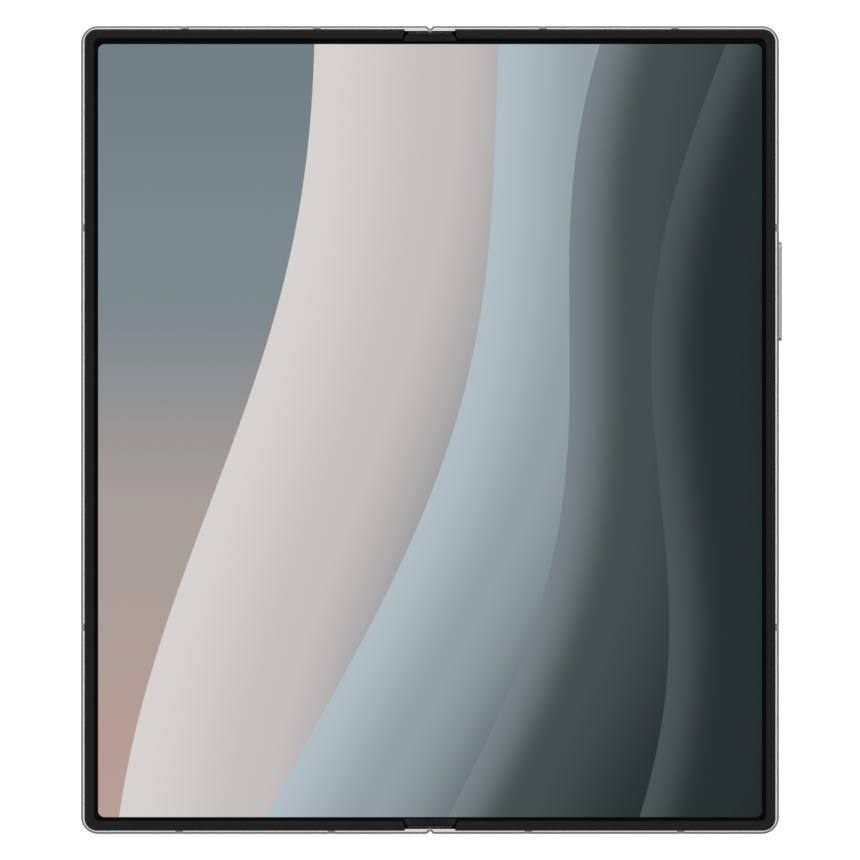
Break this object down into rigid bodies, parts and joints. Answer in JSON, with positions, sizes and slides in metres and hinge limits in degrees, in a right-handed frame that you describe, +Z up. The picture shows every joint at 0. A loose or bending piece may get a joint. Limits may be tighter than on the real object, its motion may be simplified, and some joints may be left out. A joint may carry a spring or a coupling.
{
  "type": "foldable smartphone",
  "caption": "Book-style folding phone, shown unfolded: a flexible main screen over two thin metal halves that a geared spine joins, with side keys and rear cameras.",
  "frame": {"origin": "on the table plane, under the middle of the unfolded phone", "axes": "+X to the right across the hinge as the screen is read, +Y towards the top edge along the hinge, +Z up out of the main screen"},
  "size_m": [0.1332, 0.1536, 0.0072],
  "materials": {
    "frame_metal": "satin, bead-blasted and anodised",
    "key_metal": "satin",
    "spine_metal": "satin",
    "hinge_steel": "machined",
    "gear_steel": "machined",
    "spring_steel": "drawn wire",
    "screw_steel": "blackened",
    "rim_polymer": "matt",
    "seal_rubber": "matt",
    "screen_film": "glossy film over a lit picture",
    "plate_carbon": "woven fibre",
    "lattice_steel": "etched",
    "antenna_plastic": "satin",
    "cover_glass": "polished",
    "cover_panel": "glossy",
    "back_glass": "frosted",
    "camera_metal": "satin",
    "ring_metal": "turned",
    "lens_glass": "coated",
    "flash_lens": "prismatic",
    "camera_black": "matt",
    "battery_wrap": "foil pouch",
    "board_laminate": "solder mask",
    "shield_metal": "tinned",
    "coil_copper": "lacquered",
    "magnet_metal": "nickel-plated",
    "ribbon_film": "polyimide",
    "socket_metal": "plated"
  },
  "bodies": {
    "spine": {"hinge_spine": "spine_metal", "hinge_bases": "hinge_steel", "base_screws": "screw_steel", "friction_discs": "gear_steel", "friction_springs": "spring_steel", "fold_lattice": "lattice_steel", "main_screen_fold": "screen_film", "fold_end_seals": "seal_rubber", "hinge_ribbons": "ribbon_film"},
    "left_half": {"left_frame": "frame_metal", "left_rim": "rim_polymer", "left_antenna_breaks": "antenna_plastic", "left_wing_brackets": "hinge_steel", "left_wing_screws": "screw_steel", "left_support_plate": "plate_carbon", "left_battery": "battery_wrap", "left_board": "board_laminate", "left_shields": "shield_metal", "left_board_screws": "screw_steel", "left_magnets": "magnet_metal", "main_screen_left": "screen_film", "cover_glass": "cover_glass", "cover_screen": "cover_panel", "cover_camera": "camera_black", "earpiece": "camera_black", "vibration_motor": "shield_metal", "card_reader": "shield_metal"},
    "right_half": {"right_frame": "frame_metal", "right_rim": "rim_polymer", "right_antenna_breaks": "antenna_plastic", "right_wing_brackets": "hinge_steel", "right_wing_screws": "screw_steel", "right_support_plate": "plate_carbon", "main_screen_right": "screen_film", "back_glass": "back_glass", "camera_island": "camera_metal", "lens_rings": "ring_metal", "lens_glasses": "lens_glass", "rear_cameras": "camera_black", "flash": "flash_lens", "charging_coil": "coil_copper", "right_battery": "battery_wrap", "main_board": "board_laminate", "main_shields": "shield_metal", "main_board_screws": "screw_steel", "lower_board": "board_laminate", "charging_socket": "socket_metal", "loudspeaker": "camera_black", "inner_camera": "camera_black", "right_magnets": "magnet_metal", "key_switches": "ribbon_film"},
    "left_sync_arms": {"left_sync_arms": "gear_steel"},
    "right_sync_arms": {"right_sync_arms": "gear_steel"},
    "left_idlers": {"left_idler_gears": "gear_steel"},
    "right_idlers": {"right_idler_gears": "gear_steel"},
    "volume_key": {"volume_key": "key_metal"},
    "side_key": {"side_key": "key_metal"},
    "card_tray": {"card_tray": "key_metal"}
  },
  "joints": [
    {"name": "left_fold", "type": "hinge", "parent": "spine", "child": "left_half", "pos_m": [-0.0013, 0, 0.00635], "axis": [0, 1, 0], "range_deg": [0, 90], "deforming": ["main_screen_fold", "fold_lattice", "fold_end_seals", "hinge_ribbons"]},
    {"name": "right_fold", "type": "hinge", "parent": "spine", "child": "right_half", "pos_m": [0.0013, 0, 0.00635], "axis": [0, -1, 0], "range_deg": [0, 90]},
    {"name": "left_arm_swing", "type": "hinge", "parent": "spine", "child": "left_sync_arms", "pos_m": [-0.00283, 0, 0.00477], "axis": [0, 1, 0], "range_deg": [0, 90]},
    {"name": "right_arm_swing", "type": "hinge", "parent": "spine", "child": "right_sync_arms", "pos_m": [0.00283, 0, 0.00477], "axis": [0, -1, 0], "range_deg": [0, 90]},
    {"name": "left_idler_spin", "type": "hinge", "parent": "spine", "child": "left_idlers", "pos_m": [-0.00094, 0, 0.00477], "axis": [0, -1, 0], "range_deg": [0, 90]},
    {"name": "right_idler_spin", "type": "hinge", "parent": "spine", "child": "right_idlers", "pos_m": [0.00094, 0, 0.00477], "axis": [0, 1, 0], "range_deg": [0, 90]},
    {"name": "volume_key_rock", "type": "hinge", "parent": "right_half", "child": "volume_key", "pos_m": [0.0643, 0.02635, 0.0041], "axis": [0, 0, 1], "range_deg": [-1.3, 1.3], "stiffness_Nm_per_rad": 0.4},
    {"name": "side_key_press", "type": "slide", "parent": "right_half", "child": "side_key", "axis": [-1, 0, 0], "range_m": [0, 0.00022], "stiffness_N_per_m": 1500},
    {"name": "card_tray_slide", "type": "slide", "parent": "left_half", "child": "card_tray", "axis": [0, -1, 0], "range_m": [0, 0.016]}
  ],
  "couplings": [
    {"joint": "right_fold", "follows": "left_fold", "ratio": 1},
    {"joint": "left_arm_swing", "follows": "left_fold", "ratio": 1},
    {"joint": "right_arm_swing", "follows": "left_fold", "ratio": 1},
    {"joint": "left_idler_spin", "follows": "left_fold", "ratio": 1},
    {"joint": "right_idler_spin", "follows": "left_fold", "ratio": 1}
  ]
}
